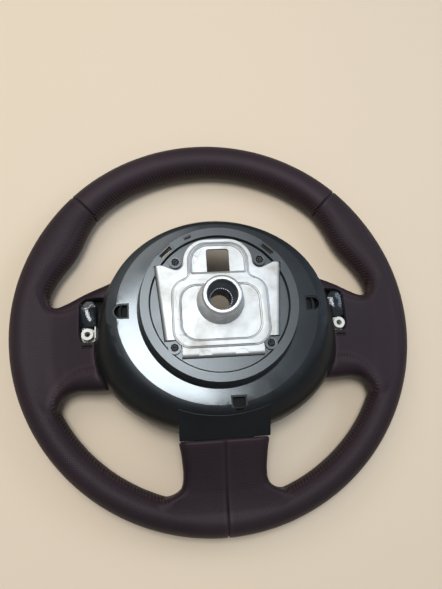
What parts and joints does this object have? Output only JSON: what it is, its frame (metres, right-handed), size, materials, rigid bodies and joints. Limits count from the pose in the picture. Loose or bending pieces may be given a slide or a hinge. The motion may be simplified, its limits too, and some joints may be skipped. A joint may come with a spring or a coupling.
{
  "type": "car steering wheel",
  "caption": "Leather-wrapped three-spoke car steering wheel without airbag, face down, with a moulded rear cover and a splined steel hub.",
  "frame": {"origin": "on the steering axis, in the plane that the front of the rim rests on", "axes": "+Z along the steering axis towards the column, +Y towards twelve o'clock"},
  "size_m": [0.375, 0.375, 0.1085],
  "materials": {
    "leather": "dark brown, fine grain",
    "foam": "moulded polyurethane foam",
    "black_cover": "satin, fine moulded texture",
    "zinc_steel": "bright zinc plate, smudged",
    "machined_steel": "turned",
    "frame_steel": "black dipped",
    "black_screw": "black oxide",
    "white_nylon": "off-white nylon",
    "gloss_black": "glossy moulding",
    "spring_steel": "bright wire"
  },
  "bodies": {
    "root": {"hub_plate": "zinc_steel", "hub_boss": "machined_steel", "rear_cover": "black_cover", "cover_screws": "black_screw", "leather_top": "leather", "leather_left": "leather", "leather_right": "leather", "foam_body": "foam", "rim_ring": "frame_steel", "left_spoke_arm": "frame_steel", "right_spoke_arm": "frame_steel", "lower_left_arm": "frame_steel", "lower_right_arm": "frame_steel", "left_switch_bush": "white_nylon", "right_switch_bush": "white_nylon", "left_switch_carrier": "gloss_black", "right_switch_carrier": "gloss_black", "left_airbag_spring": "spring_steel", "right_airbag_spring": "spring_steel", "lower_airbag_spring": "spring_steel"}
  },
  "joints": []
}
